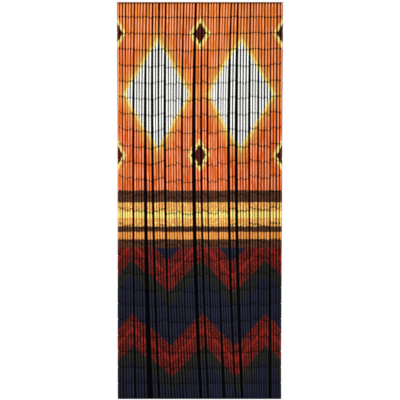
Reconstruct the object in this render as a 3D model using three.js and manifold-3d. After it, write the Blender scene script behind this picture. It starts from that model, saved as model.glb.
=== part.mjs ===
// A bamboo door curtain. Strands of bamboo tubes, linked end to end with wire, hang side by side
// from a narrow head strip, in turn a little to the front and to the back. They are almost evenly
// spaced at the strip and close up into bunches further down, where they overlap as seen from the
// front, and the gaps between the bunches open up.
// Millimetres, +Z up. The origin is the middle of the strip's top face, and the front faces -Y.

import * as THREE from "three";
import { mergeVertices } from "three/addons/utils/BufferGeometryUtils.js";
import Module from "manifold-3d";

// Driving dimensions
const WIDTH = 900; // the head strip, and so the curtain, across the doorway
const DROP = 2150; // from the strip's top face to the ends of the strands
const STRIP_HEIGHT = 5;
const STRIP_DEPTH = 22;
const TUBE_WIDTH = 13.6; // the widest bamboo tube
const CLOSE_PITCH = 12.2; // from strand to strand where a bunch hangs closest
const STAGGER = 3.4; // how far the strands hang, in turn, to the front and to the back
const TUBES_PER_STRAND = 25;
const TOP_TUBE = 75; // length of the topmost tube, shorter than the others
const LINK_LENGTH = 8; // from the full width of one tube to that of the next
const LINK_WIDTH = 4.4; // the pair of wire eyes there
const ROOT_DEPTH = 2; // how far the top of a strand runs up into the strip
const CLOSED_AT_HEAD = 0.2; // how far a bunch has already closed up at the strip
const CLOSED_UP_AT = 0.3; // share of the drop by which it has closed up
const WAIST_AT = 0.45; // share of the drop where a bunch's waist lies
const STRAND_UNEVENNESS = 0.1; // how far the joints of neighbours differ, in tube lengths

// The bunches from left to right, a row for each.
// strands: how many hang side by side in it.
// head, waist and foot: how far it hangs to the right there, from even spacing along the strip.
// close: how far its strands close up by the waist, from 0 for evenly spaced to 1 for closest.
// closeFoot: how far they are closed up at the foot.
// slip: how far its joints lie below the even rows at mid-drop, in tube lengths.
const BUNCHES = [
  { strands: 2, head: -1, waist: 0, foot: 3, close: 1, closeFoot: 0.5, slip: 0 },
  { strands: 4, head: -3, waist: -8, foot: 1, close: 0.8, closeFoot: 0.5, slip: 0.12 },
  { strands: 4, head: -3, waist: -11, foot: 5, close: 0.6, closeFoot: 0.2, slip: 0.2 },
  { strands: 2, head: -4, waist: -5, foot: 30, close: 0.6, closeFoot: 0.6, slip: 0.3 },
  { strands: 2, head: -2, waist: 0, foot: 35, close: 0.7, closeFoot: 0.5, slip: 0.26 },
  { strands: 2, head: 2, waist: -3, foot: 34, close: 0.7, closeFoot: 0.4, slip: 0.1 },
  { strands: 4, head: 3, waist: -1, foot: 34, close: 0.6, closeFoot: 0.1, slip: 0.34 },
  { strands: 2, head: 1, waist: -8, foot: 33, close: 0.8, closeFoot: 0.2, slip: 0.22 },
  { strands: 4, head: 2, waist: -10, foot: 28, close: 0.9, closeFoot: 0.6, slip: 0.4 },
  { strands: 2, head: 5, waist: -2, foot: 35, close: 0.4, closeFoot: 0.2, slip: 0.3 },
  { strands: 2, head: 5, waist: 1, foot: 37, close: 0.9, closeFoot: 0.9, slip: 0.16 },
  { strands: 4, head: 2, waist: -3, foot: 25, close: 1, closeFoot: 1, slip: 0.36 },
  { strands: 4, head: 0, waist: -15, foot: 26, close: 1, closeFoot: 0.8, slip: 0.24 },
  { strands: 2, head: 0, waist: -12, foot: 22, close: 0.5, closeFoot: 0.9, slip: 0.08 },
  { strands: 4, head: 2, waist: -5, foot: 22, close: 0.3, closeFoot: 1, slip: 0.18 },
  { strands: 3, head: 3, waist: -4, foot: 8, close: 0.7, closeFoot: 1, slip: 0.02 },
  { strands: 4, head: 1, waist: -4, foot: -5, close: 0.2, closeFoot: 0.85, slip: 0.14 },
  { strands: 4, head: 1, waist: -4, foot: -4, close: 0.2, closeFoot: 0.8, slip: -0.03 },
];

const STRAND_COUNT = BUNCHES.reduce((sum, bunch) => sum + bunch.strands, 0);
const STRAND_LENGTH = DROP - STRIP_HEIGHT;
const HOOK_PITCH = WIDTH / STRAND_COUNT;
const TUBE_PITCH = (STRAND_LENGTH - TOP_TUBE) / (TUBES_PER_STRAND - 1);
const GOLDEN_SHARE = 0.618034; // spreads the strands' unevenness with no repeat

// A strand's three edges, as seen from above, in half tube widths: one to the front, two behind.
const SECTION = [
  [0, -1],
  [1, 1],
  [-1, 1],
];

// Every strand with what places it: its bunch, its place in the bunch, the slip of its joints and
// how far to the back it hangs.
function listStrands() {
  const strands = [];
  for (const bunch of BUNCHES) {
    const first = strands.length;
    const bunchHook = (first + bunch.strands / 2) * HOOK_PITCH - WIDTH / 2;
    for (let place = 0; place < bunch.strands; place++) {
      const number = first + place;
      const uneven = ((number * GOLDEN_SHARE) % 1) - 0.5;
      strands.push({
        number,
        bunch,
        bunchHook,
        offset: place - (bunch.strands - 1) / 2,
        slip: bunch.slip + STRAND_UNEVENNESS * uneven,
        backward: number % 2 === 0 ? -STAGGER : STAGGER,
      });
    }
  }
  return strands;
}

// Where a strand hangs at a share of the drop. The bunch hangs on a parabola through its head,
// waist and foot, and its strands close up on the way down from almost evenly spaced, and then
// close up more or part again towards the foot.
function centreAt(strand, share) {
  const { head, waist, foot, close, closeFoot } = strand.bunch;
  const toHead = (1 - share) * (1 - share / WAIST_AT);
  const toWaist = (share * (1 - share)) / (WAIST_AT * (1 - WAIST_AT));
  const toFoot = (share * (share - WAIST_AT)) / (1 - WAIST_AT);
  const sway = head * toHead + waist * toWaist + foot * toFoot;
  const fall = THREE.MathUtils.smoothstep(share, 0, CLOSED_UP_AT);
  const closedUp = close * THREE.MathUtils.lerp(CLOSED_AT_HEAD, 1, fall);
  const nearFoot = THREE.MathUtils.smoothstep(share, WAIST_AT, 1);
  const closed = THREE.MathUtils.lerp(closedUp, closeFoot, nearFoot);
  const pitch = THREE.MathUtils.lerp(HOOK_PITCH, CLOSE_PITCH, closed);
  return strand.bunchHook + sway + strand.offset * pitch;
}

// How far below the strip the joint under a row of tubes lies.
function jointDepth(strand, row) {
  const slipped = strand.slip * Math.sin((Math.PI * row) / TUBES_PER_STRAND);
  return TOP_TUBE + TUBE_PITCH * (row - 1 + slipped);
}

// The levels of a strand's skin from the top down, each with its width. The neck of every second
// joint is drawn in, at odd rows on one strand and at even rows on the next.
function levelsOf(strand) {
  const levels = [{ depth: -ROOT_DEPTH, width: TUBE_WIDTH }];
  const firstRow = 1 + (strand.number % 2);
  for (let row = firstRow; row < TUBES_PER_STRAND - 2; row += 2) {
    const depth = jointDepth(strand, row);
    levels.push({ depth: depth - LINK_LENGTH / 2, width: TUBE_WIDTH });
    levels.push({ depth, width: LINK_WIDTH });
    levels.push({ depth: depth + LINK_LENGTH / 2, width: TUBE_WIDTH });
  }
  levels.push({ depth: STRAND_LENGTH, width: TUBE_WIDTH });
  return levels;
}

// One strand as a three-sided skin over its levels, closed at both ends.
function strandGeometry(strand) {
  const sides = SECTION.length;
  const points = [];
  const faces = [];
  const levels = levelsOf(strand);
  levels.forEach(({ depth, width }, level) => {
    const middle = centreAt(strand, Math.max(depth, 0) / STRAND_LENGTH);
    for (const [across, back] of SECTION) {
      const x = middle + (across * width) / 2;
      const y = strand.backward + (back * width) / 2;
      points.push(x, y, -STRIP_HEIGHT - depth);
    }
    if (level === 0) return;
    for (let side = 0; side < sides; side++) {
      const next = (side + 1) % sides;
      const above = (level - 1) * sides;
      const below = level * sides;
      faces.push(above + side, below + side, above + next);
      faces.push(below + side, below + next, above + next);
    }
  });
  const last = (levels.length - 1) * sides;
  faces.push(0, 1, 2);
  faces.push(last, last + 2, last + 1);
  const geometry = new THREE.BufferGeometry();
  geometry.setAttribute("position", new THREE.Float32BufferAttribute(points, 3));
  geometry.setIndex(faces);
  return geometry;
}

// The wooden strip that carries the strands, with its top face at the origin's height.
function stripGeometry() {
  const geometry = new THREE.BoxGeometry(WIDTH, STRIP_DEPTH, STRIP_HEIGHT);
  return geometry.translate(0, 0, -STRIP_HEIGHT / 2);
}

const wasm = await Module();
wasm.setup();

// A closed geometry as a solid that can be joined to another.
function solidOf(geometry) {
  const bare = geometry.clone();
  bare.deleteAttribute("normal");
  bare.deleteAttribute("uv");
  const merged = mergeVertices(bare);
  return new wasm.Manifold(
    new wasm.Mesh({
      numProp: 3,
      vertProperties: merged.getAttribute("position").array,
      triVerts: new Uint32Array(merged.index.array),
    }),
  );
}

// A joined solid back as a geometry.
function geometryOf(solid) {
  const { vertProperties, triVerts } = solid.getMesh();
  const geometry = new THREE.BufferGeometry();
  geometry.setAttribute("position", new THREE.BufferAttribute(vertProperties, 3));
  geometry.setIndex(new THREE.BufferAttribute(triVerts, 1));
  geometry.computeVertexNormals();
  return geometry;
}

// The strip with every strand's root joined to it.
function curtainGeometry() {
  let curtain = solidOf(stripGeometry());
  for (const strand of listStrands()) curtain = curtain.add(solidOf(strandGeometry(strand)));
  return geometryOf(curtain);
}

const paintedBamboo = new THREE.MeshStandardMaterial({
  color: 0xd9702c,
  roughness: 0.5,
  metalness: 0,
});

const doorCurtain = new THREE.Group();
const strandCurtain = new THREE.Mesh(curtainGeometry(), paintedBamboo);
strandCurtain.name = "strand_curtain";
doorCurtain.add(strandCurtain);

export default doorCurtain;
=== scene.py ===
# %% [markdown]
# # A bamboo door curtain
#
# The curtain is made of strands of thin bamboo tubes, linked end to end with wire eyes, that hang
# side by side from a narrow wooden strip. The solid model gives every strand its place. This lesson
# dresses it: round, hollow tubes, their wire links, the strip, and the paint on the bamboo.
#
# All lengths are metres, in the frame of the solid model: +Z is up, the front faces -Y, and the
# origin is the middle of the strip's top face.

# %% Load the frame
import math

import bpy
import numpy as np
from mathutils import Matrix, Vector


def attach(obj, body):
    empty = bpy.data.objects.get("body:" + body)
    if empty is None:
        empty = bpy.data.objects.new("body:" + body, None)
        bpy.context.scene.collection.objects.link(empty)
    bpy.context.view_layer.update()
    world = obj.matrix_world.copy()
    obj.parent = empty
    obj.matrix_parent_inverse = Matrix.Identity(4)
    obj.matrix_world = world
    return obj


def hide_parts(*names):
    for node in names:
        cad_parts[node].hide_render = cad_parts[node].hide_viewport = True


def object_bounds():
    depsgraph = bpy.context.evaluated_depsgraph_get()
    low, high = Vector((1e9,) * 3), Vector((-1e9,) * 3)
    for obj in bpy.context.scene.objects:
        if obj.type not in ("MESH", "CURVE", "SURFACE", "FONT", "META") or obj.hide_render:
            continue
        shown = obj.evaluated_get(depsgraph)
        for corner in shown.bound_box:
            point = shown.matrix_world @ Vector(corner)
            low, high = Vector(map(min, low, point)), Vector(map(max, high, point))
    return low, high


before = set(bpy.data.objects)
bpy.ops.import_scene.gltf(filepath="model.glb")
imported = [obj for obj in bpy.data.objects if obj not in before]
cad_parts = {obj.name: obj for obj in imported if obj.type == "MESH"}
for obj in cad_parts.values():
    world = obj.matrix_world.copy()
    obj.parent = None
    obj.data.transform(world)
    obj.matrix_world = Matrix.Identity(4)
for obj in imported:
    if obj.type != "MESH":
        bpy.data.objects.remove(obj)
CURTAIN_NODE = "strand_curtain"
ROOT_BODY = "root"
cad_low, cad_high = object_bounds()
WIDTH = cad_high.x - cad_low.x
DROP = cad_high.z - cad_low.z
STRIP_DEPTH = cad_high.y - cad_low.y
SIDEWAYS, BACKWARDS, UPRIGHT = np.eye(3)
print("nodes of the frame:", len(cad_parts))
print(f"curtain: {WIDTH:.3f} m wide, {DROP:.3f} m long, {STRIP_DEPTH:.3f} m deep")

# %% [markdown]
# ## Where the strands hang
#
# On the real curtain the strands are almost evenly spaced at the strip, and further down they close
# up into bunches that sway a little to one side. There they overlap, so they hang in turn a little
# to the front and to the back. Every strand could be posed by hand, but one short table with a row
# for each bunch, and two formulas, give all of them. They are the same as in the solid model, so
# the tubes lie where its strands are, to about 2 millimetres. That much is added here: at the head
# the bunches are closed up a little more, and each strand strays to one side by chance.

# %% The table of bunches
# strands: how many hang side by side.
# head, waist, foot: how far the bunch hangs to the right of even spacing there, in metres.
# close: how far its strands close up by the waist, from 0 for evenly spaced to 1 for closest.
# close_foot: how far they are closed up at the foot.
# slip: how far the joints lie below the even rows at mid-drop, in tube lengths.
BUNCH_COLUMNS = ("strands", "head", "waist", "foot", "close", "close_foot", "slip")
BUNCH_ROWS = [
    (2, -0.001, 0.000, 0.003, 1.0, 0.50, 0.00),
    (4, -0.003, -0.008, 0.001, 0.8, 0.50, 0.12),
    (4, -0.003, -0.011, 0.005, 0.6, 0.20, 0.20),
    (2, -0.004, -0.005, 0.030, 0.6, 0.60, 0.30),
    (2, -0.002, 0.000, 0.035, 0.7, 0.50, 0.26),
    (2, 0.002, -0.003, 0.034, 0.7, 0.40, 0.10),
    (4, 0.003, -0.001, 0.034, 0.6, 0.10, 0.34),
    (2, 0.001, -0.008, 0.033, 0.8, 0.20, 0.22),
    (4, 0.002, -0.010, 0.028, 0.9, 0.60, 0.40),
    (2, 0.005, -0.002, 0.035, 0.4, 0.20, 0.30),
    (2, 0.005, 0.001, 0.037, 0.9, 0.90, 0.16),
    (4, 0.002, -0.003, 0.025, 1.0, 1.00, 0.36),
    (4, 0.000, -0.015, 0.026, 1.0, 0.80, 0.24),
    (2, 0.000, -0.012, 0.022, 0.5, 0.90, 0.08),
    (4, 0.002, -0.005, 0.022, 0.3, 1.00, 0.18),
    (3, 0.003, -0.004, 0.008, 0.7, 1.00, 0.02),
    (4, 0.001, -0.004, -0.005, 0.2, 0.85, 0.14),
    (4, 0.001, -0.004, -0.004, 0.2, 0.80, -0.03),
]
kinds = [(name, int if name == "strands" else float) for name in BUNCH_COLUMNS]
BUNCHES = np.array(BUNCH_ROWS, dtype=kinds)
STRAND_COUNT = int(BUNCHES["strands"].sum())
print(f"{STRAND_COUNT} strands in {len(BUNCHES)} bunches")

# %% The strands' places
STRIP_HEIGHT = 0.005
TUBE_WIDTH = 0.0136
CLOSE_PITCH = 0.0122
STAGGER = 0.0034
TUBES_PER_STRAND = 25
TOP_TUBE = 0.075
CLOSED_AT_HEAD = 0.4
CLOSED_UP_AT = 0.3
WAIST_AT = 0.45
STRAND_UNEVENNESS = 0.1
GOLDEN_SHARE = 0.618034
STRAY_SHARE = 0.8
STRAY_SEED = 5329
STRAND_LENGTH = DROP - STRIP_HEIGHT
HOOK_PITCH = WIDTH / STRAND_COUNT
TUBE_PITCH = (STRAND_LENGTH - TOP_TUBE) / (TUBES_PER_STRAND - 1)

number = np.arange(STRAND_COUNT)
bunch_of = np.repeat(np.arange(len(BUNCHES)), BUNCHES["strands"])
first_strand = np.cumsum(BUNCHES["strands"]) - BUNCHES["strands"]
bunch_hook = (first_strand + BUNCHES["strands"] / 2) * HOOK_PITCH - WIDTH / 2
place_in_bunch = number - first_strand[bunch_of] - (BUNCHES["strands"][bunch_of] - 1) / 2
own_hook = (number + 0.5) * HOOK_PITCH - WIDTH / 2
uneven = (number * GOLDEN_SHARE) % 1 - 0.5
slip = BUNCHES["slip"][bunch_of] + STRAND_UNEVENNESS * uneven
backward = np.where(number % 2 == 0, -STAGGER, STAGGER)[:, None]
stray = STRAY_SHARE * np.random.default_rng(STRAY_SEED).uniform(-1, 1, (STRAND_COUNT, 1))
stray[0], stray[-1] = -1, 1
strand_reach = (WIDTH - TUBE_WIDTH) / 2


def smooth_step(share):
    """Rises from 0 to 1 with no slope at either end."""
    share = np.clip(share, 0, 1)
    return share**2 * (3 - 2 * share)


def strand_x(depth):
    """Where each strand hangs, for an array of depths below the strip, a row for each strand.

    The bunch hangs on a parabola through its head, waist and foot. Its strands close up on a
    smooth step, from almost evenly spaced, and on a second one below the waist they close up
    more or part again. Each strays a little within the room that is left to it, and the
    outermost ones stray outwards.
    """
    share = np.clip(depth / STRAND_LENGTH, 0, 1)
    bunch = BUNCHES[bunch_of][:, None]
    to_head = (1 - share) * (1 - share / WAIST_AT)
    to_waist = share * (1 - share) / (WAIST_AT * (1 - WAIST_AT))
    to_foot = share * (share - WAIST_AT) / (1 - WAIST_AT)
    sway = bunch["head"] * to_head + bunch["waist"] * to_waist + bunch["foot"] * to_foot
    fall = smooth_step(share / CLOSED_UP_AT)
    closed = bunch["close"] * (CLOSED_AT_HEAD + (1 - CLOSED_AT_HEAD) * fall)
    near_foot = smooth_step((share - WAIST_AT) / (1 - WAIST_AT))
    closed = closed + (bunch["close_foot"] - closed) * near_foot
    pitch = HOOK_PITCH + (CLOSE_PITCH - HOOK_PITCH) * closed
    room = (pitch - CLOSE_PITCH) / 2
    place = bunch_hook[bunch_of][:, None] + sway + place_in_bunch[:, None] * pitch + stray * room
    return np.clip(place, -strand_reach, strand_reach)


rows = np.arange(TUBES_PER_STRAND + 1)
slipped = slip[:, None] * np.sin(np.pi * rows / TUBES_PER_STRAND)
joint_depth = TOP_TUBE + TUBE_PITCH * (rows - 1 + slipped)
print(f"tubes: {TUBE_PITCH * 1000:.1f} mm from joint to joint")
print(f"hooks: {HOOK_PITCH * 1000:.1f} mm apart")

# %% [markdown]
# ## The bamboo tubes
#
# Each tube is a length of thin bamboo, sawn off square, with its edges rubbed down and its bore
# left open for the wire. No two are equally thick. A cylinder would do for the wall alone. A
# profile turned about the tube's own line gives the rubbed edge, the sawn end and the bore too.
# All tubes are worked out at once, as one array of tube, ring and side.

# %% Tube ends and girths
TUBE_SIDES = 8
BORE_IN = 0.0034
RIM_IN = 0.0022
FULL_DOWN = 0.004
LINK_GAP = 0.0003
TOP_GAP = 0.0015
THINNEST = 0.93
SWING = 0.0003
JOINT_STRAY = 0.0026
HANG_SEED = 11

hang = np.random.default_rng(HANG_SEED)
tube_shape = (STRAND_COUNT, TUBES_PER_STRAND)
joint_depth[:, 1:-1] += JOINT_STRAY * hang.uniform(-1, 1, joint_depth[:, 1:-1].shape)
top_depth = joint_depth[:, :-1] + LINK_GAP / 2
top_depth[:, 0] = TOP_GAP
bottom_depth = joint_depth[:, 1:] - LINK_GAP / 2
bottom_depth[:, -1] = STRAND_LENGTH
tube_radius = TUBE_WIDTH / 2 * hang.uniform(THINNEST, 1, tube_shape)
tube_tone = hang.uniform(0, 1, tube_shape)
slack = TUBE_WIDTH / 2 - tube_radius
top_x = strand_x(top_depth) + slack * hang.uniform(-1, 1, tube_shape)
bottom_x = strand_x(bottom_depth) + slack * hang.uniform(-1, 1, tube_shape)
swing = SWING * hang.uniform(-1, 1, (STRAND_COUNT, 1))
top_y = backward + swing * np.sqrt(top_depth / STRAND_LENGTH)
bottom_y = backward + swing * np.sqrt(bottom_depth / STRAND_LENGTH)
top_ends = np.stack([top_x, top_y, -STRIP_HEIGHT - top_depth], -1)
bottom_ends = np.stack([bottom_x, bottom_y, -STRIP_HEIGHT - bottom_depth], -1)
thickness = 2 * tube_radius * 1000
print(f"{thickness.size} tubes, {thickness.min():.1f} to {thickness.max():.1f} mm thick")


# %% The turned surface
def turned_tubes(tops, bottoms, radii):
    """Points of hollow tubes, as an array of tube, ring, side and coordinate.

    A ring is a circle about the line from the top end to the bottom end. From ring to ring the
    profile runs out over the top end, down the wall and in over the bottom end. The next ring
    after the last is the first again, up the bore. How far each ring lies below the tube's
    middle, and how far each side faces the front or the back, are returned too.
    """
    length = np.linalg.norm(bottoms - tops, axis=-1)[:, None]
    end_down = np.broadcast_to(np.array([0, 0, FULL_DOWN]), (len(length), 3))
    end_girth = radii[:, None] - np.array([BORE_IN, RIM_IN, 0])
    down = np.concatenate([end_down, (length - end_down)[:, ::-1]], 1)
    girth = np.concatenate([end_girth, end_girth[:, ::-1]], 1)
    turn = 2 * np.pi * np.arange(TUBE_SIDES) / TUBE_SIDES
    circle = np.stack([np.cos(turn), np.sin(turn), np.zeros(TUBE_SIDES)], -1)
    line = tops[:, None] + (bottoms - tops)[:, None] * (down / length)[..., None]
    points = line[:, :, None] + girth[:, :, None, None] * circle
    return points, down - length / 2, np.abs(circle[:, 1])


def numbered_quads(copies, rings, sides):
    """The copy, the ring and the side that each quad of many like copies belongs to."""
    return np.meshgrid(np.arange(copies), np.arange(rings), np.arange(sides), indexing="ij")


def closed_quads(copies, rings, sides):
    """Quads that join each ring to the next and the last to the first, for many like copies."""
    copy, ring, side = numbered_quads(copies, rings, sides)
    next_ring, next_side = (ring + 1) % rings, (side + 1) % sides

    def index(ring, side):
        return (copy * rings + ring) * sides + side

    quads = [index(ring, side), index(next_ring, side), index(next_ring, next_side)]
    return np.stack([*quads, index(ring, next_side)], -1).reshape(-1, 4)


def quad_mesh(name, points, quads):
    """A mesh from arrays of points and quads, with foreach_set."""
    mesh = bpy.data.meshes.new(name)
    mesh.vertices.add(len(points))
    mesh.vertices.foreach_set("co", points.astype(np.float32).ravel())
    mesh.loops.add(quads.size)
    mesh.loops.foreach_set("vertex_index", quads.astype(np.int32).ravel())
    mesh.polygons.add(len(quads))
    mesh.polygons.foreach_set("loop_start", np.arange(0, quads.size, 4, dtype=np.int32))
    mesh.update(calc_edges=True)
    mesh.validate()
    return mesh


# %% [markdown]
# ## A map for each piece
#
# A tube's skin unrolls to a plain strip, once round by once along its profile. Laying these strips
# out in rows gives every piece a map with no overlaps, better than one cut up by angle.

# %% Unrolled maps
BAKE_MAP = "OFBake"
CELL_MARGIN = 0.06


def unrolled_map(mesh, copies, ring_steps, sides, height_to_width):
    """Lays each copy's skin in its own cell of a grid: u runs round, v along the ring steps."""
    columns = math.ceil(math.sqrt(copies * height_to_width))
    cell_rows = math.ceil(copies / columns)
    along = np.concatenate([[0], np.cumsum(ring_steps)]) / np.sum(ring_steps)
    copy, ring, side = numbered_quads(copies, len(ring_steps), sides)
    u = np.stack([side, side, side + 1, side + 1], -1) / sides
    v = np.stack([along[ring], along[ring + 1], along[ring + 1], along[ring]], -1)
    u = (copy[..., None] % columns + CELL_MARGIN + (1 - 2 * CELL_MARGIN) * u) / columns
    v = (copy[..., None] // columns + CELL_MARGIN + (1 - 2 * CELL_MARGIN) * v) / cell_rows
    layer = mesh.uv_layers.new(name=BAKE_MAP)
    layer.data.foreach_set("uv", np.stack([u, v], -1).astype(np.float32).ravel())


def add_numbers(mesh, name, values, kind="FLOAT"):
    """Stores a number or a vector at each point, for a material to read."""
    layer = mesh.attributes.new(name, kind, "POINT")
    field = "value" if kind == "FLOAT" else "vector"
    layer.data.foreach_set(field, values.astype(np.float32).ravel())


def add_painted_places(mesh, points, hung_x, straight_x):
    """Stores where each point of a tube or an eye was when its strand hung straight."""
    shift = (straight_x - hung_x)[:, None] * SIDEWAYS
    add_numbers(mesh, "painted_at", points + shift[:, None, None], "FLOAT_VECTOR")


# %% [markdown]
# ## Shader sums in Python
#
# The paint, the bamboo and the wire are all procedural. Written as nodes, each sum would take a
# line for every plus and times. A small class that wraps a node's output and overloads the
# operators lets a material be written as a formula, and one method makes any other node.


# %% A number that varies over a surface
class Number:
    """The output of a node, used as a number in a formula."""

    def __init__(self, finish, socket):
        self.finish, self.socket = finish, socket

    def math(self, operation, *others):
        node = self.finish.node("ShaderNodeMath", {"operation": operation}, [self, *others])
        return Number(self.finish, node.outputs[0])

    def __add__(self, other):
        return self.math("ADD", other)

    def __sub__(self, other):
        return self.math("SUBTRACT", other)

    def __rsub__(self, other):
        return (self * -1).math("ADD", other)

    def __mul__(self, other):
        return self.math("MULTIPLY", other)

    def __truediv__(self, other):
        return self.math("DIVIDE", other)

    def __abs__(self):
        return self.math("ABSOLUTE")

    __radd__ = __add__
    __rmul__ = __mul__

    def wrapped(self, period):
        """What is left over after whole periods."""
        return self.math("FLOORED_MODULO", period)

    def below(self, edge, soft):
        """1 where the number lies under the edge and 0 over it, with a soft step between."""
        settings = {"interpolation_type": "SMOOTHSTEP"}
        inputs = [self, edge - soft / 2, edge + soft / 2, 1.0, 0.0]
        node = self.finish.node("ShaderNodeMapRange", settings, inputs)
        return Number(self.finish, node.outputs[0])


# %% A finish and its nodes
def srgb(red, green, blue):
    """A screen colour of 0 to 255 as the linear colour that a shader takes."""
    share = np.array([red, green, blue]) / 255
    linear = np.where(share <= 0.04045, share / 12.92, ((share + 0.055) / 1.055) ** 2.4)
    return (*(float(value) for value in linear), 1.0)


class Finish:
    """A material with its shader, and short ways to make the nodes that feed it."""

    MIX_FACTOR, MIX_A, MIX_B, MIX_RESULT = 0, 6, 7, 2

    def __init__(self, name, **constants):
        self.material = bpy.data.materials.new(name)
        self.material.use_nodes = True
        self.tree = self.material.node_tree
        self.shader = self.tree.nodes["Principled BSDF"]
        self.feed(**constants)

    def node(self, kind, settings=None, inputs=()):
        """Makes any node: its settings first, then the values or links of its sockets."""
        node = self.tree.nodes.new(kind)
        for name, value in (settings or {}).items():
            setattr(node, name, value)
        pairs = inputs.items() if isinstance(inputs, dict) else enumerate(inputs)
        for key, value in pairs:
            self.put(node.inputs[key], value)
        return node

    def put(self, socket, value):
        """Links a number or an output to a socket, or sets a plain value."""
        if isinstance(value, Number):
            value = value.socket
        if isinstance(value, bpy.types.NodeSocket):
            self.tree.links.new(value, socket)
        else:
            socket.default_value = value

    def feed(self, **inputs):
        """Sets the shader's own sockets, each named in lower case, or links what varies to them."""
        for name, value in inputs.items():
            title = name.replace("_", " ").title().replace("Ior", "IOR")
            self.put(self.shader.inputs[title], value)

    def attribute(self, name):
        return self.node("ShaderNodeAttribute", {"attribute_name": name}).outputs

    def stored(self, name):
        """A number that the mesh stores at its points."""
        return Number(self, self.attribute(name)["Fac"])

    def stored_place(self, name):
        """A place that the mesh stores at its points."""
        return self.attribute(name)["Vector"]

    def split(self, kind, whole):
        """The three numbers of a place or a colour."""
        return [Number(self, socket) for socket in self.node(kind, inputs=[whole]).outputs]

    def stretched(self, place, scales):
        settings = {"operation": "MULTIPLY"}
        return self.node("ShaderNodeVectorMath", settings, [place, scales]).outputs[0]

    def noise(self, place, scale=1.0, detail=2.0, roughness=0.5):
        inputs = {"Vector": place, "Scale": scale, "Detail": detail, "Roughness": roughness}
        return Number(self, self.node("ShaderNodeTexNoise", inputs=inputs).outputs[0])

    def mix(self, factor, base, over, blend="MIX"):
        """Lays one colour over another, by a factor of 0 to 1."""
        settings = {"data_type": "RGBA", "blend_type": blend}
        inputs = {self.MIX_FACTOR: factor, self.MIX_A: base, self.MIX_B: over}
        return self.node("ShaderNodeMix", settings, inputs).outputs[self.MIX_RESULT]

    def layered(self, paint, measure, coats):
        """Lays coats over the paint, each where the measure lies below the coat's edge."""
        for edge, soft, colour in coats:
            paint = self.mix(measure.below(edge, soft), paint, colour)
        return paint

    def darkened(self, colour, shade):
        """A colour times a number."""
        grey = self.node("ShaderNodeCombineColor", inputs=[shade] * 3).outputs[0]
        return self.mix(1.0, colour, grey, "MULTIPLY")

    def bump(self, height, strength, distance):
        inputs = {"Height": height, "Strength": strength, "Distance": distance}
        return self.node("ShaderNodeBump", inputs=inputs).outputs[0]


# %% [markdown]
# ## The paint
#
# Such tubes are painted by brush after the strands are hung. The design here is a plain geometric
# one: white lozenges on an orange ground above, level stripes at the middle, and zigzags of red and
# navy below. It is a formula in the place that each point had when the strands hung straight, so it
# shifts with them as they sway. The orange is yellower at the head and redder further down. A low
# noise moves the edges a little, as a brush does.

# %% Colours of the paint
ORANGE = srgb(228, 104, 34)
LIGHT_ORANGE = srgb(234, 132, 52)
# Peach is a painted sheen on the ridges of orange tubes.
PEACH_SHEEN = srgb(240, 168, 130)
WHITE = srgb(252, 252, 250)
PALE_YELLOW = srgb(246, 226, 130)
GOLD = srgb(234, 166, 84)
BROWN = srgb(88, 52, 34)
UMBER = srgb(56, 36, 27)
DARK_RED = srgb(86, 26, 20)
BRIGHT_RED = srgb(146, 36, 27)
NAVY = srgb(28, 30, 48)
BLACK_GREEN = srgb(33, 35, 32)
BARE_BAMBOO = srgb(208, 162, 104)
BAMBOO_STREAK = srgb(150, 104, 58)
BAMBOO_PORE = srgb(96, 64, 36)

# %% The design as formulas
# Lengths are metres. A coat of a lozenge has an edge and a soft step, as shares of its outline.
LOZENGE_EVERY = 0.45
LOZENGE_DEPTH = 0.50
LOZENGE_HALF = (0.20, 0.33)
SMALL_LOZENGE_HALF = (0.055, 0.09)
SMALL_LOZENGE_AWAY = 0.33
LARGE_COATS = ((1.12, 0.3, GOLD), (0.95, 0.08, PALE_YELLOW), (0.86, 0.03, WHITE))
SMALL_COATS = ((1.0, 0.12, PALE_YELLOW), (0.64, 0.08, DARK_RED))
YELLOWER_AT_HEAD = 0.7
YELLOWER_FADE = 0.36
ALONG_BRUSH = (1.0, 1.0, 0.12)
DAB_STRETCH = (1.0, 1.0, 0.7)
STRIPES_FROM = 1.02
STRIPES_TO = 1.33
ZIGZAG_EVERY = 0.36
ZIGZAG_RISE = 0.17
ZIGZAG_REPEAT = 0.46
BRUSH_EDGE = 0.006
BRUSH_STRAY = 0.014


def lozenge(across, along, half):
    """How far out a point lies in a lozenge: 0 at its middle and 1 on its outline."""
    return abs(across) / half[0] + abs(along) / half[1]


def from_column(across, shift):
    """How far a point lies from the nearest of the columns, which are a lozenge apart."""
    return (across + shift).wrapped(LOZENGE_EVERY) - LOZENGE_EVERY / 2


def lozenge_ground(finish, place, across, depth, ridge_sheen):
    """Orange ground with a row of white lozenges, and small red ones above and below between."""
    cloud = finish.noise(place, scale=5.0, detail=3.0)
    yellower = cloud.below(YELLOWER_AT_HEAD - depth * YELLOWER_FADE, soft=0.35)
    brushed = finish.noise(finish.stretched(place, ALONG_BRUSH), scale=90.0)
    # Painted sheen: peach, in streaks, along the ridges of the tubes.
    sheen_streaks = brushed.below(edge=0.52, soft=0.16)
    ground = finish.mix(yellower, ORANGE, LIGHT_ORANGE)
    ground = finish.mix(sheen_streaks * ridge_sheen, ground, PEACH_SHEEN)
    from_row = depth - LOZENGE_DEPTH
    large = lozenge(from_column(across, WIDTH / 2), from_row, LOZENGE_HALF)
    ground = finish.layered(ground, large, LARGE_COATS)
    between = from_column(across, WIDTH / 2 + LOZENGE_EVERY / 2)
    small = lozenge(between, abs(from_row) - SMALL_LOZENGE_AWAY, SMALL_LOZENGE_HALF)
    return finish.layered(ground, small, SMALL_COATS)


def brushed_bands(bands):
    """Coats with the brush's soft edge, from pairs of how far down each goes and its colour."""
    return [(down_to, BRUSH_EDGE, colour) for down_to, colour in bands]


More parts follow.
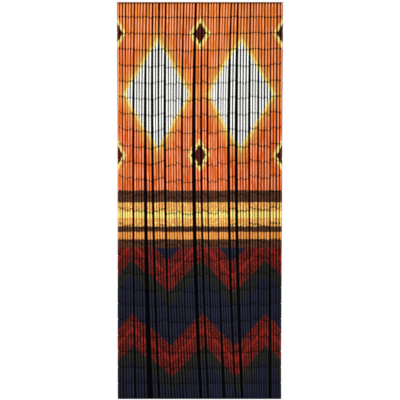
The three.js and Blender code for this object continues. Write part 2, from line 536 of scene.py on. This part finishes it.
def stripe_band(finish, depth, dabs):
    """Level stripes of brown, gold and yellow, dabbed with a second colour."""
    brown = finish.mix(dabs, BROWN, UMBER)
    gold = finish.mix(dabs, GOLD, PALE_YELLOW)
    amber = finish.mix(dabs, GOLD, LIGHT_ORANGE)
    bands = [
        (1.285, amber),
        (1.245, brown),
        (1.215, gold),
        (1.17, PALE_YELLOW),
        (1.135, gold),
        (1.085, brown),
    ]
    return finish.layered(brown, depth, brushed_bands(bands))


def zigzag_band(finish, across, depth, dabs):
    """Zigzags of navy and dabbed red on near black, one below the other."""
    slope = 2 * ZIGZAG_RISE / ZIGZAG_EVERY
    tooth = abs(across.wrapped(ZIGZAG_EVERY) - ZIGZAG_EVERY / 2) * slope
    zigzag = (depth + tooth - STRIPES_TO + ZIGZAG_RISE).wrapped(ZIGZAG_REPEAT)
    red = finish.mix(dabs, DARK_RED, BRIGHT_RED)
    bands = [
        (0.41, red),
        (0.335, BRIGHT_RED),
        (0.31, red),
        (0.24, NAVY),
        (0.03, BLACK_GREEN),
    ]
    return finish.layered(BLACK_GREEN, zigzag, brushed_bands(bands))


def painted_design(finish, place, ridge_sheen):
    """The colour of the paint at a place on the straight-hung curtain, with painted sheen by the
    given share.
    """
    across, _, up = finish.split("ShaderNodeSeparateXYZ", place)
    aside = (finish.noise(place, scale=26.0, detail=3.0) - 0.5) * BRUSH_STRAY
    across, depth = across + aside, aside - up
    dabbed = finish.noise(finish.stretched(place, DAB_STRETCH), scale=150.0, detail=1.0)
    dabs = 1 - dabbed.below(edge=0.58, soft=0.1)
    upper = lozenge_ground(finish, place, across, depth, ridge_sheen)
    stripes = stripe_band(finish, depth, dabs)
    lower = zigzag_band(finish, across, depth, dabs)
    bands = [(STRIPES_TO, stripes), (STRIPES_FROM, upper)]
    return finish.layered(lower, depth, brushed_bands(bands))


# %% [markdown]
# ## Painted bamboo and bare bamboo
#
# Under the paint the bamboo's fibres run along the tube and show as fine streaks. The sides of the
# tubes, which face each other, carry painted shade for the crevices between them: the colour times
# itself, and darker. Under pale paint this painted shade is darkest and reaches furthest round. By
# the links it spreads round the tube and darkens further, as painted shade for the gaps at the
# joints. Along the ridges at front and back there is a painted sheen: orange turns peach there in
# streaks, and dark paint a little lighter. Where the tubes' ends knock together some paint is
# rubbed off. At the sawn ends and in the bore the bamboo is bare. Two finishes share the streaks:
# one with the paint over it, and one without.

# %% Painted tubes
# Facing is 1 on the ridge at a tube's front or back and 0 at its sides. Shades are shares of the
# paint's own colour, and lengths from a tube's end are metres.
FIBRE_STRETCH = (420.0, 420.0, 9.0)
RIDGE_FACING = 0.86
# Painted shade between the tubes, on their sides: where it begins, how soft, and how much of the
# paint's colour is left, also under pale paint.
SIDE_FACING = 0.58
SIDE_SOFT = 0.42
SIDE_SHADE = 0.9
PALE_SIDE_SHADE = 0.03
PALE_SPREAD = 0.14
# Painted shade for the gaps at the joints: how far from a tube's end, how far round, and how dark.
END_SHADE_LENGTH = 0.006
END_SPREAD = 0.2
END_DARKNESS = 0.9
LEAST_SHADE = 0.82
TONE_SHADE = 0.2
STREAK_SHADE = 0.1
# How much lighter dark paint is on the ridges, as painted sheen.
SHEEN_ON_DARK = 0.4
WORN_LENGTH = 0.0012
WORN_RAGGED = 0.003
WORN_SHARE = 0.3
COAT = 0.02


def fibres(finish, place):
    """Streaks along the tube: a noise that is stretched many times lengthwise."""
    return finish.noise(finish.stretched(place, FIBRE_STRETCH), detail=3.0, roughness=0.6)


def painted_bamboo():
    """Paint on the wall of a tube, with painted shade at the sides and by the links, and painted
    sheen on the ridges.
    """
    finish = Finish("painted_bamboo", specular_ior_level=0.06, coat_roughness=0.35)
    place = finish.stored_place("painted_at")
    streak = fibres(finish, place)
    patch = finish.noise(place, scale=60.0)
    from_end = finish.stored("half_length") - abs(finish.stored("from_middle"))
    # Near the links the painted shade spreads further round the tube and darkens more.
    near_end = from_end.below(END_SHADE_LENGTH, soft=END_SHADE_LENGTH)
    facing = finish.stored("facing")
    # Painted sheen along the ridges, where the tubes face the front or the back.
    ridge_sheen = 1 - facing.below(RIDGE_FACING, soft=0.24)
    paint_and_sheen = painted_design(finish, place, ridge_sheen)
    red, _, pale = finish.split("ShaderNodeSeparateColor", paint_and_sheen)

    # Painted shade on the sides, between the tubes: widest and darkest under pale paint and by the
    # links.
    spread = near_end * END_SPREAD + pale * (1 - near_end) * PALE_SPREAD
    side = (facing - spread).below(SIDE_FACING, SIDE_SOFT)
    side_shade = SIDE_SHADE - pale * (SIDE_SHADE - PALE_SIDE_SHADE)
    side_shade = side_shade * (1 - near_end * END_DARKNESS)
    # The painted shade is the paint's colour times itself, darkened.
    crevice_shade = finish.mix(1.0, paint_and_sheen, paint_and_sheen, "MULTIPLY")
    crevice_shade = finish.darkened(crevice_shade, side_shade)
    dark_paint = red.below(edge=0.2, soft=0.3)
    shade = LEAST_SHADE + finish.stored("tone") * TONE_SHADE + streak * STREAK_SHADE
    # Painted sheen: dark paint is lighter on the ridges.
    shade = shade + ridge_sheen * dark_paint * SHEEN_ON_DARK
    paint = finish.darkened(finish.mix(side, paint_and_sheen, crevice_shade), shade)

    worn = (from_end + patch * WORN_RAGGED).below(WORN_LENGTH, soft=WORN_LENGTH) * WORN_SHARE
    finish.feed(
        base_color=finish.mix(worn, paint, BARE_BAMBOO),
        roughness=0.45 + patch * 0.16 + worn * 0.2,
        coat_weight=COAT - worn * COAT,
        normal=finish.bump(streak, strength=0.25, distance=0.0004),
    )
    return finish.material


def bare_bamboo():
    """Sawn ends and bores: the streaks alone, with open pores."""
    finish = Finish("cut_bamboo", specular_ior_level=0.3)
    place = finish.stored_place("painted_at")
    pores = finish.noise(place, scale=1500.0, detail=1.0)
    wood = finish.mix(fibres(finish, place), BARE_BAMBOO, BAMBOO_STREAK)
    finish.feed(
        base_color=finish.mix(pores.below(edge=0.42, soft=0.1), wood, BAMBOO_PORE),
        roughness=0.7 + pores * 0.2,
        normal=finish.bump(pores, strength=0.3, distance=0.0003),
    )
    return finish.material


tube_finishes = [painted_bamboo(), bare_bamboo()]
print("finishes:", [material.name for material in tube_finishes])


# %% Hang the tubes, a piece for each bunch
# The faces below the first ring and the last two are the sawn ends and the bore.
TUBE_RINGS = 6
BARE_RINGS = (0, 4, 5)
BORE_ON_MAP = 0.012
SHARP_ANGLE = math.radians(40)


def add_piece(name, mesh, materials):
    """Links a mesh as a piece that stands for the solid strands and takes a finish slot."""
    for material in materials:
        mesh.materials.append(material)
    piece = bpy.data.objects.new(name, mesh)
    bpy.context.scene.collection.objects.link(piece)
    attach(piece, ROOT_BODY)
    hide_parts(CURTAIN_NODE)
    return piece


def hang_tubes(bunch):
    """The tubes of one bunch as one piece, with what their finish reads stored at the points."""
    strands = bunch_of == bunch
    tops, bottoms = top_ends[strands].reshape(-1, 3), bottom_ends[strands].reshape(-1, 3)
    points, from_middle, facing = turned_tubes(tops, bottoms, tube_radius[strands].ravel())
    count = len(points)
    half_length = np.broadcast_to(from_middle[:, -1:], from_middle.shape)
    quads = closed_quads(count, TUBE_RINGS, TUBE_SIDES)
    name = f"bamboo_tubes_{bunch + 1:02d}"
    mesh = quad_mesh(name, points.reshape(-1, 3), quads)

    middle_x = (tops[:, 0] + bottoms[:, 0]) / 2
    add_painted_places(mesh, points, middle_x, np.repeat(own_hook[strands], TUBES_PER_STRAND))
    add_numbers(mesh, "tone", np.repeat(tube_tone[strands].ravel(), TUBE_RINGS * TUBE_SIDES))
    add_numbers(mesh, "from_middle", np.repeat(from_middle.ravel(), TUBE_SIDES))
    add_numbers(mesh, "half_length", np.repeat(half_length.ravel(), TUBE_SIDES))
    add_numbers(mesh, "facing", np.tile(facing, count * TUBE_RINGS))
    ring_of_face = np.arange(len(quads)) // TUBE_SIDES % TUBE_RINGS
    bare = np.isin(ring_of_face, BARE_RINGS)
    mesh.polygons.foreach_set("material_index", bare.astype(np.int32))
    mesh.polygons.foreach_set("use_smooth", np.ones(len(quads), dtype=bool))
    mesh.set_sharp_from_angle(angle=SHARP_ANGLE)
    end_steps = [BORE_IN - RIM_IN, FULL_DOWN]
    steps = [*end_steps, TUBE_PITCH, *reversed(end_steps), BORE_ON_MAP]
    unrolled_map(mesh, count, steps, TUBE_SIDES, sum(steps) / (np.pi * TUBE_WIDTH))
    return add_piece(name, mesh, tube_finishes)


tube_pieces = [hang_tubes(bunch) for bunch in range(len(BUNCHES))]
tube_faces = sum(len(piece.data.polygons) for piece in tube_pieces)
print(f"{len(tube_pieces)} pieces of tubes, {tube_faces} faces")

# %% [markdown]
# ## The wire links
#
# A wire runs through each tube and is bent to an eye at both ends. The eye of one tube is hooked
# into the eye of the next, at right angles to it, and the top ones hang from the strip. The brush
# caught them too, so they carry the same paint, chipped where they rub. An eye is an ellipse with a
# thin wire carried round it, so it is a ring of rings, as a tube is.

# %% Bend the eyes
WIRE_RADIUS = 0.0006
EYE_HALF_WIDTH = 0.0017
EYE_HALF_HEIGHT = 0.004
EYE_STEPS = 8
WIRE_SIDES = 4
TOP_LINK_DEPTH = 0.004


def wire_eyes(joints, across):
    """Eyes of wire about the joints, as an array of eye, step, side and coordinate.

    The path is an ellipse in the plane of the given direction and the upright. The wire's section
    is a small circle about the path, spread by the path's outward normal and by the direction
    that stands square to its plane.
    """
    turn = 2 * np.pi * np.arange(EYE_STEPS) / EYE_STEPS
    square = np.cross(across, UPRIGHT)
    path = np.outer(np.cos(turn) * EYE_HALF_WIDTH, across)
    path = path + np.outer(np.sin(turn) * EYE_HALF_HEIGHT, UPRIGHT)
    outward = np.outer(np.cos(turn) * EYE_HALF_HEIGHT, across)
    outward = outward + np.outer(np.sin(turn) * EYE_HALF_WIDTH, UPRIGHT)
    outward = outward / np.linalg.norm(outward, axis=1, keepdims=True)
    round_wire = 2 * np.pi * np.arange(WIRE_SIDES) / WIRE_SIDES
    section = outward[:, None] * np.cos(round_wire)[:, None]
    section = section + square * np.sin(round_wire)[:, None]
    eye = path[:, None] + WIRE_RADIUS * section
    return joints[:, None, None] + eye


link_depth = joint_depth[:, :-1].copy()
link_depth[:, 0] = TOP_LINK_DEPTH
above_x = np.concatenate([top_x[:, :1], bottom_x[:, :-1]], 1)
above_y = np.concatenate([top_y[:, :1], bottom_y[:, :-1]], 1)
link_x, link_y = (above_x + top_x) / 2, (above_y + top_y) / 2
links = np.stack([link_x, link_y, -STRIP_HEIGHT - link_depth], -1)
hooked = (EYE_HALF_HEIGHT - WIRE_RADIUS) * UPRIGHT
print(f"{links[..., 0].size} links of two eyes")

# %% Wire finish and pieces
LINK_GROUPS = ("left", "middle", "right")
DULL_WIRE = srgb(120, 112, 100)
TARNISHED_WIRE = srgb(74, 60, 48)
# The share of the ridges' painted sheen that the wire's paint carries.
WIRE_SHEEN = 0.5


def link_wire():
    """Dull wire under the same paint as the tubes, chipped where the eyes rub."""
    finish = Finish("link_wire", specular_ior_level=0.3)
    place = finish.stored_place("painted_at")
    chipped = finish.noise(place, scale=400.0).below(edge=0.4, soft=0.12)
    metal = finish.mix(finish.noise(place, scale=900.0), DULL_WIRE, TARNISHED_WIRE)
    paint = finish.darkened(painted_design(finish, place, WIRE_SHEEN), 0.7 + chipped * 0.1)
    finish.feed(
        base_color=finish.mix(chipped, paint, metal),
        metallic=chipped,
        roughness=0.5 - chipped * 0.1,
    )
    return finish.material


def bend_links(group, strands, material):
    """The eyes of a group of strands as one piece, the upper ones of all links first."""
    joints = links[strands].reshape(-1, 3)
    upper = wire_eyes(joints + hooked, SIDEWAYS)
    lower = wire_eyes(joints - hooked, BACKWARDS)
    points = np.concatenate([upper, lower])
    quads = closed_quads(len(points), EYE_STEPS, WIRE_SIDES)
    name = f"wire_links_{group}"
    mesh = quad_mesh(name, points.reshape(-1, 3), quads)
    straight_x = np.repeat(own_hook[strands], TUBES_PER_STRAND)
    add_painted_places(mesh, points, np.tile(joints[:, 0], 2), np.tile(straight_x, 2))
    mesh.polygons.foreach_set("use_smooth", np.ones(len(quads), dtype=bool))
    steps = np.ones(EYE_STEPS)
    round_eye = np.pi * (EYE_HALF_WIDTH + EYE_HALF_HEIGHT)
    unrolled_map(mesh, len(points), steps, WIRE_SIDES, round_eye / (2 * np.pi * WIRE_RADIUS))
    return add_piece(name, mesh, [material])


wire = link_wire()
link_pieces = [
    bend_links(group, strands, wire)
    for group, strands in zip(LINK_GROUPS, np.array_split(number, len(LINK_GROUPS)))
]
link_faces = sum(len(piece.data.polygons) for piece in link_pieces)
print(f"{len(link_pieces)} pieces of links, {link_faces} faces")

# %% [markdown]
# ## The head strip
#
# The strip is a plain planed batten, stained brown. Its section, a rectangle with eased corners, is
# carried along the width, a little smaller at the two ends so that the end edges are eased too.

# %% Plane the strip
STRIP_EASE = 0.0012
CORNER_STEPS = 4
GRAIN_STRETCH = (14.0, 500.0, 500.0)
STRIP_BROWN = srgb(150, 92, 46)
STRIP_GRAIN = srgb(96, 56, 28)
STRIP_STAIN = srgb(120, 66, 30)


def eased_section(depth, height, ease):
    """A rectangle with quarter-circle corners, as points across the strip's depth and height."""
    quarter = np.linspace(0, np.pi / 2, CORNER_STEPS)
    turn = np.concatenate([quarter + corner * np.pi / 2 for corner in range(4)])
    corner_y = np.repeat([1, -1, -1, 1], CORNER_STEPS) * (depth / 2 - ease)
    corner_z = np.repeat([1, 1, -1, -1], CORNER_STEPS) * (height / 2 - ease)
    return np.stack([corner_y + ease * np.cos(turn), corner_z + ease * np.sin(turn)], -1)


def strip_mesh(name):
    """The eased section carried along the width through four stations, with flat ends."""
    full = eased_section(STRIP_DEPTH, STRIP_HEIGHT, STRIP_EASE)
    end = eased_section(STRIP_DEPTH - STRIP_EASE, STRIP_HEIGHT - STRIP_EASE, STRIP_EASE / 2)
    half = WIDTH / 2
    stations = np.array([-half, -half + STRIP_EASE / 2, half - STRIP_EASE / 2, half])
    sections = np.stack([end, full, full, end])
    points = np.concatenate(
        [np.broadcast_to(stations[:, None, None], (*sections.shape[:2], 1)), sections], -1
    )
    points[..., 2] -= STRIP_HEIGHT / 2
    count = sections.shape[1]
    around = closed_quads(1, len(stations), count).reshape(len(stations), count, 4)[:-1]
    faces = [tuple(quad) for quad in around.reshape(-1, 4).tolist()]
    last = (len(stations) - 1) * count
    faces.append(tuple(range(count)))
    faces.append(tuple(reversed(range(last, last + count))))
    mesh = bpy.data.meshes.new(name)
    mesh.from_pydata(points.reshape(-1, 3).tolist(), [], faces)
    mesh.polygons.foreach_set("use_smooth", np.ones(len(faces), dtype=bool))
    mesh.set_sharp_from_angle(angle=SHARP_ANGLE)
    return mesh


def strip_wood():
    """Planed wood with its grain along the strip, stained unevenly."""
    finish = Finish("strip_wood", specular_ior_level=0.3)
    place = finish.node("ShaderNodeTexCoord").outputs["Object"]
    grain = finish.noise(finish.stretched(place, GRAIN_STRETCH), detail=4.0, roughness=0.6)
    stain = finish.noise(place, scale=9.0).below(edge=0.45, soft=0.3)
    wood = finish.mix(grain, STRIP_BROWN, STRIP_GRAIN)
    finish.feed(
        base_color=finish.mix(stain * 0.5, wood, STRIP_STAIN),
        roughness=0.5 + grain * 0.2,
        normal=finish.bump(grain, strength=0.3, distance=0.0004),
    )
    return finish.material


strip_piece = add_piece("head_strip", strip_mesh("head_strip"), [strip_wood()])
print(f"head strip: {len(strip_piece.data.polygons)} faces")

# %% [markdown]
# ## Floor, doorway and light
#
# The curtain hangs just clear of a pale floor in an even white surround. Behind it a near-black
# card
# is painted shade: it stands for an unlit doorway and turns every gap between the strands black.
# Its sides follow the lines of the first and the last strand, so that it stays hidden behind them.
# It is far enough back to be out of the picture from the side.

# %% The stage
FLOOR_BELOW = 0.03
FLOOR_HALF = 7.0
CARD_BEHIND = 3.3
PALE_FLOOR = srgb(238, 236, 232)
# Near black: the painted shade of an unlit doorway, seen through the gaps.
DOORWAY_SHADE = srgb(4, 4, 5)


def plain_finish(name, colour, roughness):
    return Finish(name, base_color=colour, roughness=roughness, specular_ior_level=0.1).material


def stage_sheet(name, corners, faces, material):
    """A flat sheet that belongs to the stage, not to the curtain."""
    mesh = bpy.data.meshes.new(name)
    mesh.from_pydata(corners, [], faces)
    mesh.materials.append(material)
    sheet = bpy.data.objects.new(name, mesh)
    bpy.context.scene.collection.objects.link(sheet)


floor_z = -DROP - FLOOR_BELOW
floor_signs = ((-1, -1), (1, -1), (1, 1), (-1, 1))
floor_corners = [(x * FLOOR_HALF, y * FLOOR_HALF, floor_z) for x, y in floor_signs]
floor_finish = plain_finish("pale_floor", PALE_FLOOR, roughness=0.8)
stage_sheet("floor", floor_corners, [(0, 1, 2, 3)], floor_finish)

# A card of painted shade behind the strands, shaped to the lines of the outermost ones.
card_depth = np.linspace(0, STRAND_LENGTH, TUBES_PER_STRAND + 1)
card_x = strand_x(np.tile(card_depth, (STRAND_COUNT, 1)))[[0, -1]]
card_corners = [
    (x, CARD_BEHIND, -STRIP_HEIGHT - depth) for side in card_x for x, depth in zip(side, card_depth)
]
right_side = len(card_depth)
card_faces = [
    (row, row + 1, right_side + row + 1, right_side + row) for row in range(TUBES_PER_STRAND)
]
card_finish = plain_finish("doorway_shade_card", DOORWAY_SHADE, roughness=0.9)
stage_sheet("doorway_shade_card", card_corners, card_faces, card_finish)
print("floor and dark doorway set")

# %% Light
SURROUND_LIGHT = 0.28


def white_surround():
    """A world that looks white to the camera and lights the curtain more softly."""
    world = bpy.data.worlds.new("white_surround")
    world.use_nodes = True
    nodes, wires = world.node_tree.nodes, world.node_tree.links
    backdrop = nodes["Background"]
    backdrop.inputs["Color"].default_value = (1, 1, 1, 1)
    seen = nodes.new("ShaderNodeLightPath").outputs["Is Camera Ray"]
    level = nodes.new("ShaderNodeMapRange")
    level.inputs["To Min"].default_value = SURROUND_LIGHT
    level.inputs["To Max"].default_value = 1.0
    wires.new(seen, level.inputs["Value"])
    wires.new(level.outputs["Result"], backdrop.inputs["Strength"])
    bpy.context.scene.world = world


def soft_box(name, place, size, watts):
    """A square area light at a place, turned to the middle of the curtain."""
    light = bpy.data.lights.new(name, "AREA")
    light.energy, light.size = watts, size
    lamp = bpy.data.objects.new(name, light)
    lamp.location = place
    aim = np.array([0, 0, -DROP / 2]) - np.array(place)
    yaw, tilt = math.atan2(aim[0], -aim[1]), math.acos(-aim[2] / np.linalg.norm(aim))
    lamp.rotation_euler = (tilt, 0, -yaw + math.pi)
    lamp.visible_camera = False
    bpy.context.scene.collection.objects.link(lamp)


white_surround()
soft_box("key_light", place=(-0.9, -4.0, 0.4), size=2.0, watts=114.0)
soft_box("fill_light", place=(1.1, -4.0, -1.6), size=2.0, watts=62.0)
bpy.context.scene.view_settings.view_transform = "Standard"
print("lights set")

# %% [markdown]
# ## The camera
#
# The picture is square and straight on, with no perspective in the rows of joints, so the camera
# is orthographic. Its height is set from the share of the picture that the curtain fills.

# %% The camera
PICTURE_PIXELS = 400
CURTAIN_PIXELS = 397
CURTAIN_BELOW_MIDDLE = 0.5
CAMERA_AWAY = 4.0

metres_per_pixel = DROP / CURTAIN_PIXELS
camera_data = bpy.data.cameras.new("camera")
camera_data.type = "ORTHO"
camera_data.ortho_scale = metres_per_pixel * PICTURE_PIXELS
camera = bpy.data.objects.new("camera", camera_data)
camera.location = (0, -CAMERA_AWAY, -DROP / 2 + CURTAIN_BELOW_MIDDLE * metres_per_pixel)
camera.rotation_euler = (math.pi / 2, 0, 0)
bpy.context.scene.collection.objects.link(camera)
bpy.context.scene.camera = camera
print(f"camera frame: {camera_data.ortho_scale:.3f} m")
